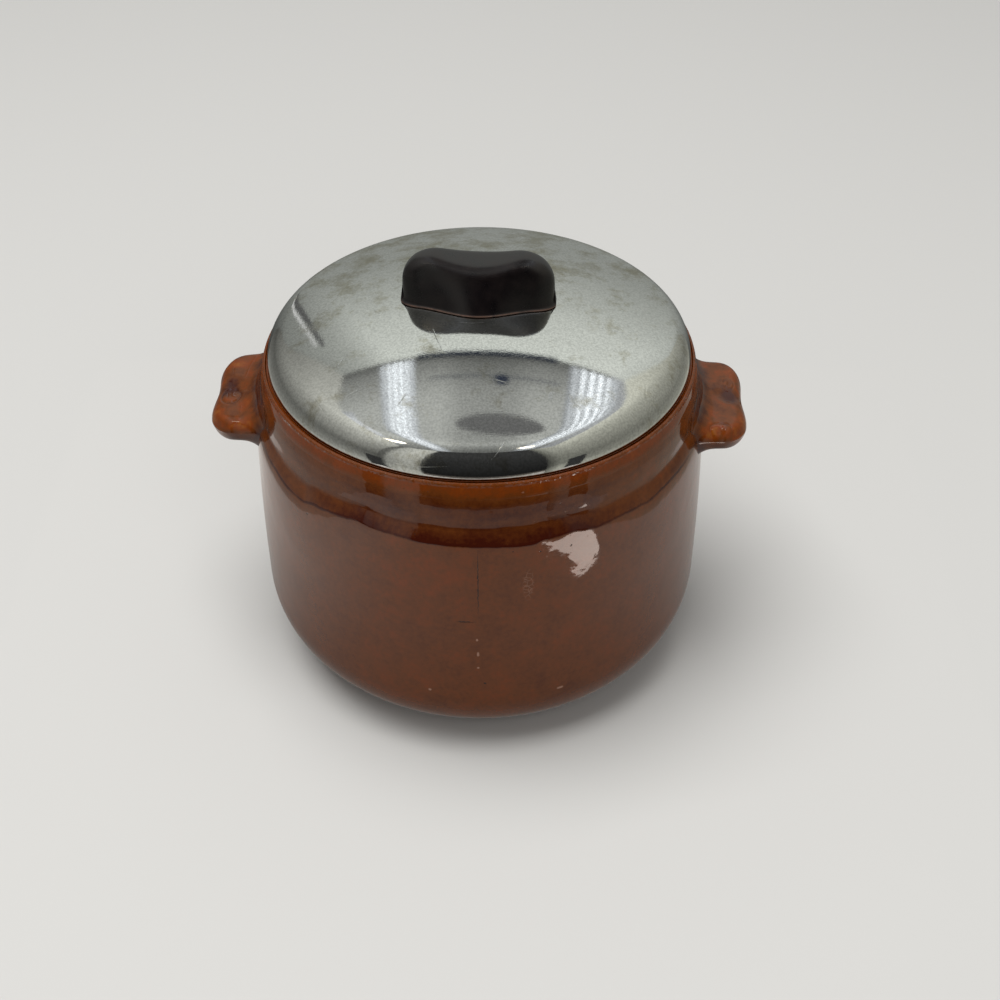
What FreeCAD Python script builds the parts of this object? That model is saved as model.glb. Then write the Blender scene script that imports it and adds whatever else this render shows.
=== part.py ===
import FreeCAD, Part

import math
import os

from FreeCAD import Vector

# Stoneware bean pot with a loose aluminium lid. Millimetres, +Z up, origin at the centre of the
# foot on the table, the two clay handles along X.

# Lid, spun from sheet. The mouth of the pot is thrown to fit it.
lid_radius = 89.0          # to the outside of the rolled bead
lid_rise = 25.5            # top of the crown above the rim
lid_shoulder = 12.3        # where the crown turns down into the rim
lid_skirt = 0.7            # straight run below the shoulder
lid_sheet = 0.8
bead_radius = 1.1          # outside of the rolled bead
bead_curl = 225.0          # degrees that the bead turns through

# Mouth of the pot
pot_height = 145.3
lip_radius = 1.0           # half-round along the top of the lip
lip_lean = 11.0            # degrees that the outside of the lip leans in
lip_round = 30.0           # where it turns down into the neck
gallery_depth = 1.35       # ledge for the lid, below the top of the lip
gallery_width = 5.1        # from the lip in to the mouth
gallery_round = 1.2
lid_play = 0.8             # round the bead
seat_gap = 0.25            # under the bead
neck_wall = 8.4            # from the mouth to the outside of the neck

# Shoulder, where the neck swells into the barrel
neck_height = 18.8         # from the top of the lip to the foot of the neck
shoulder_height = 8.3      # from the foot of the neck to the barrel
shoulder_hollow = 14.0
shoulder_round = 5.0
inner_lead = 2.0           # inside, the neck ends this much nearer to the lip
inner_shoulder = 17.0
inner_round = 35.0

# Wall and floor of the pot
belly_swell = 4.6          # belly outside the neck
belly_height = 70.0
barrel_radius = 1000.0     # curve of the wall, up and down
heel_radius = 38.35
wall = 7.5
inner_heel_radius = 30.0
floor_height = 9.0         # inside floor above the table
foot_width = 8.0           # bare ring that the pot stands on
foot_recess = 2.4
foot_round = 0.9
recess_slope = 2.5         # run of the ring's inner side
recess_round = 1.6

# Handles, clay tabs luted to the wall by hand, so one sits a little higher
handle_reach = 16.3        # out from the belly
handle_width = 55.0
handle_thickness = 12.5
right_handle_drop = 20.9   # top of the handle below the top of the pot
left_handle_drop = 19.4
handle_corner = 13.0       # corners seen from above
handle_edge = 4.8          # rounded edges
handle_root = 10.0         # hollow where the clay is smoothed into the wall
slip_layer = 0.05          # bed of slip between handle and wall
tip_hollow = 1.0           # how far the end is pinched in
dish_radius = 7.0          # thumb mark on top
dish_depth = 1.5
dish_inset = 8.0           # centre of the thumb mark in from the end

# Knob, moulded in one piece: two wings and a boss between them
knob_length = 62.5
knob_height = 20.4         # wings above the top of the crown
saddle_dip = 2.8           # middle below the wings
knob_turn = -2.4           # degrees from the line of the handles, as it is screwed down
wing_round = 12.5          # end of a wing, seen from the front
wing_depth = 13.0          # across a wing at the lid
wing_taper = 1.6           # thinner than that at the top
boss_depth = 30.0          # across the boss at the lid
boss_taper = 12.0
boss_width = 62.0          # from where one side of the boss swells to where it ends
knob_edge = 4.5            # rounded top edge
knob_flare = 1.0           # thin lip round the foot of the knob
flare_height = 1.3

# Fastening under the knob
screw_radius = 2.0
screw_play = 0.05          # in the insert
screw_hole_play = 0.3      # in the lid and the washers
screw_length = 12.0        # under the head
screw_tip = 0.6
head_radius = 4.0
head_height = 2.6
head_round = 1.8
slot_width = 1.2
slot_depth = 1.2
insert_radius = 3.7
insert_length = 11.0
insert_recess = 0.4        # up from the underside of the knob
insert_groove = 0.5
groove_width = 1.6
drill_play = 1.0           # hole in the knob past the insert and the screw
flat_washer_radius = 6.0
flat_washer_thickness = 0.9
lock_washer_radius = 3.9
lock_washer_thickness = 1.1
lock_washer_gap = 1.2

axis_x = Vector(1, 0, 0)
axis_z = Vector(0, 0, 1)
origin = Vector(0, 0, 0)


def at(x, z):
    """Point in the XZ plane."""
    return Vector(x, 0, z)


def on_circle(centre, radius, angle):
    """Point of a circle in the XZ plane, its angle in degrees from +X."""
    turn = math.radians(angle)
    return centre + at(radius * math.cos(turn), radius * math.sin(turn))


def angle_to(centre, point):
    """Angle in degrees from +X of the line from centre to point."""
    return math.degrees(math.atan2(point.z - centre.z, point.x - centre.x))


def arc(centre, radius, start, end):
    """Circular edge in the XZ plane between two angles in degrees."""
    points = [on_circle(centre, radius, start + (end - start) * share) for share in (0, 0.5, 1)]
    return Part.Arc(*points).toShape()


def face_of(*pieces):
    """Face inside a closed outline of points and arcs, with straight runs between them."""
    edges = []
    pen = None
    first = None
    for piece in pieces:
        is_point = isinstance(piece, Vector)
        start = piece if is_point else piece.valueAt(piece.FirstParameter)
        if pen is not None and (start - pen).Length > 1e-6:
            edges.append(Part.LineSegment(pen, start).toShape())
        if not is_point:
            edges.append(piece)
        pen = start if is_point else piece.valueAt(piece.LastParameter)
        first = start if first is None else first
    if (first - pen).Length > 1e-6:
        edges.append(Part.LineSegment(pen, first).toShape())
    return Part.Face(Part.Wire(edges))


def spin(face):
    """Solid of revolution about the Z axis."""
    return face.revolve(origin, axis_z, 360)


def ring(inner, outer, low, high):
    """Plain ring about the Z axis."""
    return spin(face_of(at(inner, low), at(outer, low), at(outer, high), at(inner, high)))


def round_rings(solid, rings):
    """Round the circular edges about Z that are given as (radius, height, rounding)."""
    for radius, height, rounding in rings:
        edges = [edge for edge in solid.Edges if is_ring(edge, radius, height)]
        solid = solid.makeFillet(rounding, edges)
    return solid


def is_ring(edge, radius, height):
    """True for a circular edge about Z of this radius at this height."""
    if not isinstance(edge.Curve, Part.Circle) or abs(abs(edge.Curve.Axis.z) - 1) > 1e-6:
        return False
    return abs(edge.Curve.Radius - radius) < 1e-4 and abs(edge.Curve.Center.z - height) < 1e-4


def crown_at(radius, sheet=0.0):
    """Height of the crown at a radius, on top or a sheet's thickness below."""
    return crown_centre.z + math.sqrt((crown_radius - sheet) ** 2 - radius ** 2)


# Places that follow from the sizes
gallery_radius = lid_radius + lid_play
mouth_radius = gallery_radius - gallery_width
ledge = pot_height - gallery_depth
lip_centre = at(gallery_radius + lip_radius, pot_height - lip_radius)
neck_radius = mouth_radius + neck_wall
neck_low = pot_height - neck_height
shoulder_low = neck_low - shoulder_height
belly_radius = neck_radius + belly_swell
barrel_centre = at(belly_radius - barrel_radius, belly_height)
bead_centre = at(lid_radius - bead_radius, ledge + seat_gap + bead_radius)
rim_height = bead_centre.z + lid_skirt
crown_height = rim_height + lid_rise
shoulder_inset = lid_radius - lid_shoulder
crown_radius = ((lid_rise ** 2 + shoulder_inset ** 2 - lid_shoulder ** 2)
                / (2 * (lid_rise - lid_shoulder)))
crown_centre = at(0, crown_height - crown_radius)
handle_tip = belly_radius + handle_reach
screw_hole_radius = screw_radius + screw_hole_play
bore_radius = screw_radius + screw_play
insert_low = crown_height + insert_recess
insert_top = insert_low + insert_length
knob_top = crown_height + knob_height
knob_low = crown_at(math.hypot(knob_length / 2 + knob_flare, boss_depth / 2))


def heel_centre(barrel, radius, floor):
    """Centre of the arc that runs a wall of this barrel radius into a floor at this height."""
    rise = barrel_centre.z - floor - radius
    return at(barrel_centre.x + math.sqrt((barrel - radius) ** 2 - rise ** 2), floor + radius)


def barrel_at(height, barrel=barrel_radius):
    """Point of the barrel at a height, outside or on a smaller barrel inside it."""
    rise = height - barrel_centre.z
    return at(barrel_centre.x + math.sqrt(barrel ** 2 - rise ** 2), height)


def make_pot_body():
    """Pot: floor, rounded heel, barrel, shoulder, neck, ledge for the lid, lip and foot ring."""
    heel = heel_centre(barrel_radius, heel_radius, 0)
    shoulder = barrel_at(shoulder_low)
    lip_end = on_circle(lip_centre, lip_radius, lip_lean)
    lip_drop = (neck_radius - lip_end.x) / math.tan(math.radians(lip_lean))
    neck_high = lip_end.z - lip_drop

    inner_barrel = barrel_radius - wall
    inner_heel = heel_centre(inner_barrel, inner_heel_radius, floor_height)
    heel_end = angle_to(barrel_centre, inner_heel)
    inner_neck_low = neck_low + inner_lead
    inner_low = inner_neck_low - inner_shoulder
    inner_foot = barrel_at(inner_low, inner_barrel)

    foot_inner = heel.x - foot_width
    recess_radius = foot_inner - recess_slope
    body = spin(face_of(
        at(0, floor_height),
        arc(inner_heel, inner_heel_radius, -90, heel_end),
        arc(barrel_centre, inner_barrel, heel_end, angle_to(barrel_centre, inner_foot)),
        at(mouth_radius, inner_neck_low),
        at(mouth_radius, ledge),
        at(gallery_radius, ledge),
        arc(lip_centre, lip_radius, 180, lip_lean),
        at(neck_radius, neck_high),
        at(neck_radius, neck_low),
        arc(barrel_centre, barrel_radius, angle_to(barrel_centre, shoulder),
            angle_to(barrel_centre, heel)),
        arc(heel, heel_radius, angle_to(barrel_centre, heel), -90),
        at(foot_inner, 0),
        at(recess_radius, foot_recess),
        at(0, foot_recess)))
    return round_rings(body, [
        (mouth_radius, ledge, gallery_round),
        (mouth_radius, inner_neck_low, inner_round),
        (inner_foot.x, inner_low, inner_round),
        (neck_radius, neck_high, lip_round),
        (neck_radius, neck_low, shoulder_hollow),
        (shoulder.x, shoulder_low, shoulder_round),
        (foot_inner, 0, foot_round),
        (recess_radius, foot_recess, recess_round)])


def hollow_radius(half_spacing, rounding, dip):
    """Radius of the hollow that joins two equal round corners, dipping below their tops."""
    return (half_spacing ** 2 + (rounding - dip) ** 2 - rounding ** 2) / (2 * dip)


def make_tab(top):
    """Flat clay tab from inside the wall to the tip, its end pinched in, its edges rounded."""
    inner = math.sqrt(neck_radius ** 2 - (handle_width / 2) ** 2) - neck_wall
    corner = at(handle_tip - handle_corner, handle_width / 2 - handle_corner)
    hollow = hollow_radius(corner.z, handle_corner, tip_hollow)
    hollow_centre = at(handle_tip - tip_hollow + hollow, 0)
    turn = angle_to(hollow_centre, corner)
    lower = at(corner.x, -corner.z)
    plan = face_of(
        at(inner, -handle_width / 2),
        arc(lower, handle_corner, -90, 180 - turn),
        arc(hollow_centre, hollow, 360 - turn, turn),
        arc(corner, handle_corner, turn - 180, 90),
        at(inner, handle_width / 2))
    tab = plan.rotated(origin, axis_x, -90).extrude(axis_z * handle_thickness)
    tab.translate(axis_z * (top - handle_thickness))
    rims = [edge for edge in tab.Edges
            if edge.BoundBox.ZLength < 1e-6 and edge.BoundBox.XMax > inner + 1e-3]
    return tab.makeFillet(handle_edge, rims)


def wall_drum():
    """Filled pot from the belly up, its neck carried on straight, proud of the wall by the slip."""
    shoulder = barrel_at(shoulder_low)
    low = barrel_at(belly_height - 2 * handle_root)
    high = pot_height + 2 * handle_root
    outward = axis_x * slip_layer
    filled = spin(face_of(
        at(0, low.z),
        arc(barrel_centre + outward, barrel_radius, angle_to(barrel_centre, low),
            angle_to(barrel_centre, shoulder)),
        at(neck_radius, neck_low) + outward,
        at(neck_radius, high) + outward,
        at(0, high)))
    return round_rings(filled, [
        (neck_radius + slip_layer, neck_low, shoulder_hollow),
        (shoulder.x + slip_layer, shoulder_low, shoulder_round)])


def make_handle(drop):
    """Handle on the +X side: rounded tab, hollow root off the neck, thumb mark on top."""
    top = pot_height - drop
    tab = make_tab(top)
    core_low = top - handle_thickness - 2 * handle_root
    core = Part.makeCylinder(neck_radius, handle_thickness + 4 * handle_root, at(0, core_low))
    core = core.rotated(origin, axis_z, 180)
    joined = core.fuse(tab)
    roots = [edge for edge in joined.Edges if joins(edge, tab.Shells[0], core.Shells[0])]
    handle = joined.makeFillet(handle_root, roots).cut(wall_drum())
    ball_radius = (dish_radius ** 2 + dish_depth ** 2) / (2 * dish_depth)
    ball_height = top - dish_depth + ball_radius
    return handle.cut(Part.makeSphere(ball_radius, Vector(handle_tip - dish_inset, 0, ball_height)))


def joins(edge, *skins):
    """True for an edge that lies on every one of the skins."""
    middle = Part.Vertex(edge.valueAt((edge.FirstParameter + edge.LastParameter) / 2))
    return all(skin.distToShape(middle)[0] < 1e-4 for skin in skins)


def make_lid_shell():
    """Lid: one thickness of sheet from the screw hole over the crown to the rolled bead."""
    turned_in = shoulder_inset
    shoulder = at(turned_in, rim_height)
    meet = angle_to(crown_centre, shoulder)
    hole = math.degrees(math.acos(screw_hole_radius / crown_radius))
    inner_hole = math.degrees(math.acos(screw_hole_radius / (crown_radius - lid_sheet)))
    return spin(face_of(
        arc(crown_centre, crown_radius, hole, meet),
        arc(shoulder, lid_shoulder, meet, 0),
        arc(bead_centre, bead_radius, 0, -bead_curl),
        arc(bead_centre, bead_radius - lid_sheet, -bead_curl, 0),
        arc(shoulder, lid_shoulder - lid_sheet, 0, meet),
        arc(crown_centre, crown_radius - lid_sheet, meet, inner_hole)))


def elevation_top(x):
    """Height of the knob's top at a distance along it: round wings and a saddle between."""
    wing_centre = knob_length / 2 - wing_round
    saddle = hollow_radius(wing_centre, wing_round, saddle_dip)
    saddle_centre = knob_top - saddle_dip + saddle
    wing_base = knob_top - wing_round
    meet = wing_centre * saddle / (saddle + wing_round)
    if x < meet:
        return saddle_centre - math.sqrt(saddle ** 2 - x ** 2)
    return wing_base + math.sqrt(max(wing_round ** 2 - (x - wing_centre) ** 2, 0))


def foot_and_taper(x):
    """Half of the knob's depth at the lid and what its side leans in, at a distance along it."""
    end_centre = (knob_length - wing_depth) / 2
    swell = narrowing = 0.0
    if x < boss_width / 2:
        swell = math.cos(math.pi * x / boss_width) ** 2
    if x > end_centre:
        narrowing = ((x - end_centre) / (wing_depth / 2)) ** 2
    depth = wing_depth + (boss_depth - wing_depth) * swell
    taper = wing_taper + (boss_taper - wing_taper) * swell
    return depth / 2 * math.sqrt(1 - narrowing), taper / 2 * math.sqrt(1 - narrowing)


def knob_section(x):
    """Closed outline of the knob across its length, x from its middle."""
    foot, taper = foot_and_taper(abs(x))
    top = foot - taper
    high = elevation_top(abs(x))
    rounding = min(knob_edge, 0.8 * top)
    side = top + taper * rounding / (high - knob_low)
    cut = rounding * math.sqrt(0.5)

    def half(sign):
        return [Vector(x, sign * foot, knob_low),
                Vector(x, sign * side, high - rounding),
                Vector(x, sign * (top - rounding + cut), high - rounding + cut),
                Vector(x, sign * (top - rounding), high)]

    right = half(1)
    left = half(-1)
    return Part.Wire([
        Part.LineSegment(left[0], right[0]).toShape(),
        Part.LineSegment(right[0], right[1]).toShape(),
        Part.Arc(right[1], right[2], right[3]).toShape(),
        Part.LineSegment(right[3], left[3]).toShape(),
        Part.Arc(left[3], left[2], left[1]).toShape(),
        Part.LineSegment(left[1], left[0]).toShape()])


def flare_section(x):
    """Outline across the thin lip round the foot, before its top is cut to the crown."""
    along = x * (knob_length / 2 + knob_flare) / (knob_length / 2)
    across = foot_and_taper(abs(x))[0] + knob_flare
    high = crown_height + 2 * flare_height
    corners = [(-across, knob_low), (across, knob_low), (across, high), (-across, high)]
    return Part.makePolygon([Vector(along, y, z) for y, z in corners + corners[:1]])


def knob_stations():
    """Places along the knob where a section is taken, closer together round the ends."""
    end_centre = (knob_length - wing_depth) / 2
    ends = [end_centre + wing_depth / 2 * math.sin(math.radians(turn)) for turn in (20, 45, 62, 80)]
    inner = [end_centre * step / 5 for step in range(1, 6)]
    right = inner + ends
    return [-x for x in reversed(right)] + [0.0] + right


def insert_outline():
    """Outside of the insert: a sleeve with a groove that the moulding grips."""
    middle = (insert_low + insert_top) / 2
    waist = insert_radius - insert_groove
    return [at(insert_radius, insert_low),
            at(insert_radius, middle - groove_width / 2),
            at(waist, middle - groove_width / 2 + insert_groove),
            at(waist, middle + groove_width / 2 - insert_groove),
            at(insert_radius, middle + groove_width / 2),
            at(insert_radius, insert_top)]


def make_knob_insert():
    """Threaded sleeve in the knob, its thread shown as a plain bore."""
    return spin(face_of(at(bore_radius, insert_low), *insert_outline(), at(bore_radius, insert_top)))


def make_lid_knob():
    """Knob: lofted along its length, seated on the crown and moulded round the insert."""
    body = Part.makeLoft([knob_section(x) for x in knob_stations()], True, False)
    flare = Part.makeLoft([flare_section(x) for x in knob_stations()], True, False)
    flare = flare.common(Part.makeSphere(crown_radius + flare_height, crown_centre))
    drill_end = max(insert_top, washer_stack() + screw_length) + drill_play
    socket = spin(face_of(
        at(0, knob_low), at(insert_radius, knob_low), *insert_outline(),
        at(bore_radius, insert_top), at(bore_radius, drill_end), at(0, drill_end)))
    knob = body.fuse(flare).cut(Part.makeSphere(crown_radius, crown_centre)).cut(socket)
    return knob.rotated(origin, axis_z, knob_turn)


def washer_stack():
    """Height of the underside of the washers, where the screw head bears."""
    seat = crown_at(flat_washer_radius, lid_sheet)
    return seat - flat_washer_thickness - lock_washer_thickness


def make_knob_screw():
    """Pan-head screw from below, slotted."""
    bearing = washer_stack()
    bottom = bearing - head_height
    turn_centre = at(head_radius - head_round, bottom + head_round)
    tip = bearing + screw_length
    body = spin(face_of(
        at(0, bottom),
        arc(turn_centre, head_round, -90, 0),
        at(head_radius, bearing),
        at(screw_radius, bearing),
        at(screw_radius, tip - screw_tip),
        at(screw_radius - screw_tip, tip),
        at(0, tip)))
    slot = Part.makeBox(2 * head_radius, slot_width, slot_depth,
                        Vector(-head_radius, -slot_width / 2, bottom))
    return body.cut(slot)


def make_flat_washer():
    """Washer that spreads the load on the thin sheet."""
    seat = crown_at(flat_washer_radius, lid_sheet)
    return ring(screw_hole_radius, flat_washer_radius, seat - flat_washer_thickness, seat)


def make_lock_washer():
    """Spring washer, split on a slant."""
    low = washer_stack()
    washer = ring(screw_hole_radius, lock_washer_radius, low, low + lock_washer_thickness)
    lean = lock_washer_thickness
    points = [(-lean, low), (lock_washer_gap - lean, low), (lock_washer_gap, low + lean), (0, low + lean)]
    corners = [at(x, z) for x, z in points]
    gap = face_of(*corners).extrude(Vector(0, 2 * lock_washer_radius, 0))
    return washer.cut(gap)


def main():
    os.makedirs("parts", exist_ok=True)
    nodes = {
        "pot_body": make_pot_body(),
        "handle_right": make_handle(right_handle_drop),
        "handle_left": make_handle(left_handle_drop).rotated(origin, axis_z, 180),
        "lid_shell": make_lid_shell(),
        "lid_knob": make_lid_knob(),
        "knob_insert": make_knob_insert(),
        "knob_screw": make_knob_screw(),
        "flat_washer": make_flat_washer(),
        "lock_washer": make_lock_washer(),
    }
    for name, shape in nodes.items():
        shape.exportStep(f"parts/{name}.step")
        box = shape.BoundBox
        print(name, "solids", len(shape.Solids), "valid", shape.isValid(),
              "volume", round(shape.Volume, 1),
              "x", round(box.XMin, 2), round(box.XMax, 2), "y", round(box.YMin, 2), round(box.YMax, 2),
              "z", round(box.ZMin, 2), round(box.ZMax, 2))


main()
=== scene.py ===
import math

import bmesh
import bpy
from mathutils import Matrix, Vector, noise


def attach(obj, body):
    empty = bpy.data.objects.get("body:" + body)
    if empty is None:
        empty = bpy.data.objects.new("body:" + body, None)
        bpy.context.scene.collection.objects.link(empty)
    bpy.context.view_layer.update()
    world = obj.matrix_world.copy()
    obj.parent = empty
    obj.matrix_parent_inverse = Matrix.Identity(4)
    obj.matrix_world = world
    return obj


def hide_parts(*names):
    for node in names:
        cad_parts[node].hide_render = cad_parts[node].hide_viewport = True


# Glazed stoneware bean pot with a loose aluminium lid. Shapes are worked out in millimetres and
# turned to metres as each mesh is finished; +Z is up, -Y is the front, the handles lie along X.
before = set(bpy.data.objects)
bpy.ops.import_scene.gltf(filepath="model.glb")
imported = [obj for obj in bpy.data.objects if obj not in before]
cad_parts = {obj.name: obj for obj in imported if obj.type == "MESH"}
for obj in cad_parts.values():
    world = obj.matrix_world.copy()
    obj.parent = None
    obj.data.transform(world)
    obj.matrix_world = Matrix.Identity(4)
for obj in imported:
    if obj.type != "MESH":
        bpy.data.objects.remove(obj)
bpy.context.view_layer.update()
mm = 0.001


def toLinear(hexColour):
    channels = [int(hexColour[i:i + 2], 16) / 255 for i in (1, 3, 5)]
    return [c / 12.92 if c <= 0.04045 else ((c + 0.055) / 1.055) ** 2.4 for c in channels] + [1.0]


def smoothStep(low, high, value):
    share = min(max((value - low) / (high - low), 0.0), 1.0)
    return share * share * (3 - 2 * share)


def addNode(tree, kind, inputs=None, stops=None, **settings):
    # inputs: a socket is linked, anything else is set; stops: colour ramp as (place, colour) pairs
    node = tree.nodes.new(kind)
    for name, value in settings.items():
        setattr(node, name, value)
    for name, value in (inputs or {}).items():
        if isinstance(value, bpy.types.NodeSocket):
            tree.links.new(value, node.inputs[name])
        else:
            node.inputs[name].default_value = value
    if stops:
        ramp = node.color_ramp.elements
        while len(ramp) < len(stops):
            ramp.new(1.0)
        for element, (place, colour) in zip(ramp, stops):
            element.position = place
            element.color = colour if len(colour) == 4 else (*colour, 1.0)
    return node


def addMath(tree, operation, *values):
    return addNode(tree, "ShaderNodeMath", dict(enumerate(values)), operation=operation).outputs[0]


def addRange(tree, value, low, high, least=0.0, most=1.0):
    # value from low to high becomes least to most and stays there past either end
    return addNode(tree, "ShaderNodeMapRange", {
        "Value": value, "From Min": low, "From Max": high, "To Min": least, "To Max": most}).outputs[0]


def addMix(tree, share, first, second):
    return addNode(tree, "ShaderNodeMix", {0: share, 6: first, 7: second}, data_type="RGBA").outputs[2]


def addNoise(tree, place, scale, detail, roughness=0.5, output=0):
    # output 0 is one value, 1 is three as a colour
    return addNode(tree, "ShaderNodeTexNoise", {
        "Vector": place, "Scale": scale, "Detail": detail, "Roughness": roughness}).outputs[output]


def addCellEdges(tree, place, gap):
    return addNode(tree, "ShaderNodeTexVoronoi", {"Vector": place, "Scale": 1 / gap},
                   feature="DISTANCE_TO_EDGE").outputs["Distance"]


def addBump(tree, height, distance, strength, below=None, **settings):
    inputs = {"Height": height, "Distance": distance, "Strength": strength}
    if below:
        inputs["Normal"] = below
    return addNode(tree, "ShaderNodeBump", inputs, **settings).outputs[0]


def addMark(tree, name):
    # a value that the piece's own vertices carry
    return addNode(tree, "ShaderNodeAttribute", attribute_name=name).outputs["Fac"]


def finishMaterial(material, tree, inputs):
    shader = addNode(tree, "ShaderNodeBsdfPrincipled", inputs)
    addNode(tree, "ShaderNodeOutputMaterial", {"Surface": shader.outputs[0]})
    return material


def startMaterial(name):
    material = bpy.data.materials.new(name)
    material.use_nodes = True
    tree = material.node_tree
    tree.nodes.clear()
    return material, tree, addNode(tree, "ShaderNodeTexCoord").outputs["Object"]


def spotMask(tree, place, spots):
    # 1 inside any of the spots and 0 outside; each spot is a middle and half sizes in millimetres
    mask = None
    for middle, halfSizes in spots:
        away = addNode(tree, "ShaderNodeVectorMath", {0: place, 1: [c * mm for c in middle]},
                       operation="SUBTRACT").outputs[0]
        scaled = addNode(tree, "ShaderNodeVectorMath", {0: away, 1: [1 / (h * mm) for h in halfSizes]},
                         operation="MULTIPLY").outputs[0]
        length = addNode(tree, "ShaderNodeVectorMath", {0: scaled}, operation="LENGTH").outputs["Value"]
        inside = addRange(tree, length, 1.0, 0.6)
        mask = addMath(tree, "MAXIMUM", mask, inside) if mask else inside
    return mask


glaze = {
    "body": "#5c2f10",       # red brown where the glaze lies at its usual thickness
    "pooledAndPaintedDark": "#361006",     # thick in the hollows; the same colour also stands for painted shade under the handles and a painted dark reflection in the neck
    "lean": "#6e310b",       # amber, a little thinner
    "thin": "#7a4212",       # drawn thin over edges
    "speckle": "#241006",    # iron spots in the clay
    "chip": "#8f6a58",       # pale clay in the bottom of a chip
    "cloud": 0.045,          # metres across a cloud of colour
    "mottle": 0.0021,        # fine mottling where the iron breaks through
    "speckGap": 0.0032,
    "waveGap": 0.009,        # slow waves of a poured glaze
    "peelGap": 0.0022,       # orange peel
    "pebbleGap": 0.0016,     # pebbled crest of the lip, where the glaze ran off
    "roughness": 0.05,
    # how far clouds, waves and mottling thin or thicken the glaze
    "cloudDepth": 0.30, "waveDepth": 0.28, "mottleDepth": 0.44,
    "raggedScale": 900.0, "raggedReach": 0.0009,   # how the outline of a chip or a pit breaks up
    # middles and half sizes in millimetres of the marks that years of use left
    "chips": [((1.8, -97.2, 61.5), (0.7, 2, 1.6)), ((1.4, -97.2, 69.5), (0.6, 2, 0.8)),
              ((35.9, -90.3, 35.5), (1.7, 2, 0.9)), ((-18.7, -95.4, 38.5), (0.8, 2, 0.8)),
              ((69.0, -66.0, 133.0), (2.1, 2.1, 0.9)), ((19.5, -91.3, 140.8), (0.8, 2, 0.8)),
              ((1.7, -97.2, 53.5), (0.6, 2, 0.6)), ((-61, -75, 62), (0.9, 1, 0.7))],
    "pits": [((38.6, -89.2, 113.4), (0.6, 1.5, 0.6)), ((26.7, -93.5, 113.6), (0.5, 1.5, 0.5)),
             ((15.8, -95.9, 115.5), (0.5, 1.5, 0.5)), ((-68.0, -69.4, 111.4), (0.9, 1.2, 0.8)),
             ((38.2, -89.4, 27), (0.7, 2, 0.7)), ((4.5, -97.1, 44.5), (0.5, 2, 0.5)),
             ((-3.0, -97.1, 79.4), (4.5, 3, 0.28)), ((2.1, -97.2, 100), (0.24, 3, 19)),
             ((70, 66, 84), (0.8, 1, 0.7)), ((-30, 92, 51), (0.9, 1.5, 0.6))],
    "crazing": [((22.0, -94.6, 97.5), (2.6, 6, 9))],
    "crazeGap": 0.0021,
}


def glazedStoneware():
    # Stoneware under a poured brown glaze, fired glossy: deep colour under a clear glass surface,
    # soft waves that break up reflections, iron specks, a few pinholes, chips and some crazing.
    material, tree, place = startMaterial("glazedStoneware")
    clouds = addNoise(tree, place, 1 / glaze["cloud"], 4.0, 0.6)
    mottle = addNoise(tree, place, 1 / glaze["mottle"], 3.0, 0.65)
    waves = addNoise(tree, place, 1 / glaze["waveGap"], 1.5)
    lean = addMath(tree, "MULTIPLY_ADD", clouds, glaze["cloudDepth"], -glaze["cloudDepth"] / 2)
    lean = addMath(tree, "MULTIPLY_ADD", addMath(tree, "SUBTRACT", waves, 0.5), glaze["waveDepth"], lean)
    grain = addMath(tree, "MULTIPLY_ADD", mottle, glaze["mottleDepth"], -glaze["mottleDepth"] / 2)
    # the glaze's depth mark holds its thickness, and also painted shade under the handles and a painted dark
    # reflection round the front of the neck
    depth = addMath(tree, "ADD", addMath(tree, "ADD", addMark(tree, "glazeThicknessAndPaintedDark"), lean), grain)
    colour = addNode(tree, "ShaderNodeValToRGB", {"Fac": depth}, stops=[
        (0.12, toLinear(glaze["thin"])), (0.3, toLinear(glaze["lean"])), (0.5, toLinear(glaze["body"])),
        (0.9, toLinear(glaze["pooledAndPaintedDark"]))]).outputs[0]

    specks = addNode(tree, "ShaderNodeTexVoronoi", {
        "Vector": place, "Scale": 1 / glaze["speckGap"], "Randomness": 1.0}).outputs["Distance"]
    speckMask = addRange(tree, specks, 0.09, 0.05, 0.0, 0.4)
    reach = glaze["raggedReach"]
    wobble = addNoise(tree, place, glaze["raggedScale"], 2.0, output=1)
    shift = addNode(tree, "ShaderNodeVectorMath", {0: wobble, 1: (reach,) * 3, 2: (-reach / 2,) * 3},
                    operation="MULTIPLY_ADD").outputs[0]
    ragged = addNode(tree, "ShaderNodeVectorMath", {0: place, 1: shift}, operation="ADD").outputs[0]
    crazeLine = addRange(tree, addCellEdges(tree, ragged, glaze["crazeGap"]), 0.09, 0.03, 0.0, 0.35)
    craze = addMath(tree, "MULTIPLY", crazeLine, spotMask(tree, place, glaze["crazing"]))
    chips = spotMask(tree, ragged, glaze["chips"])
    dark = addMath(tree, "MAXIMUM", speckMask, spotMask(tree, ragged, glaze["pits"]))
    pale = addMath(tree, "MAXIMUM", craze, chips)
    speckled = addMix(tree, dark, colour, toLinear(glaze["speckle"]))
    worn = addMix(tree, pale, speckled, toLinear(glaze["chip"]))

    peel = addNoise(tree, place, 1 / glaze["peelGap"], 1.0)
    pebbles = addMath(tree, "MULTIPLY", addNoise(tree, place, 1 / glaze["pebbleGap"], 1.5),
                      addMark(tree, "glazePebble"))
    waveBump = addBump(tree, waves, 0.00034, 0.4)
    peelBump = addBump(tree, peel, 0.00004, 0.35, waveBump)
    pebbleBump = addBump(tree, pebbles, 0.0006, 0.9, peelBump)
    pitBump = addBump(tree, addMath(tree, "MAXIMUM", dark, chips), 0.0001, 0.5, pebbleBump, invert=True)
    return finishMaterial(material, tree, {
        "Base Color": worn, "Roughness": glaze["roughness"], "IOR": 1.48, "Normal": pitBump})


bareClay = {"dark": "#9c7f62", "light": "#c2a685", "sandScale": 900.0, "roughness": 0.85}


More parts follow.
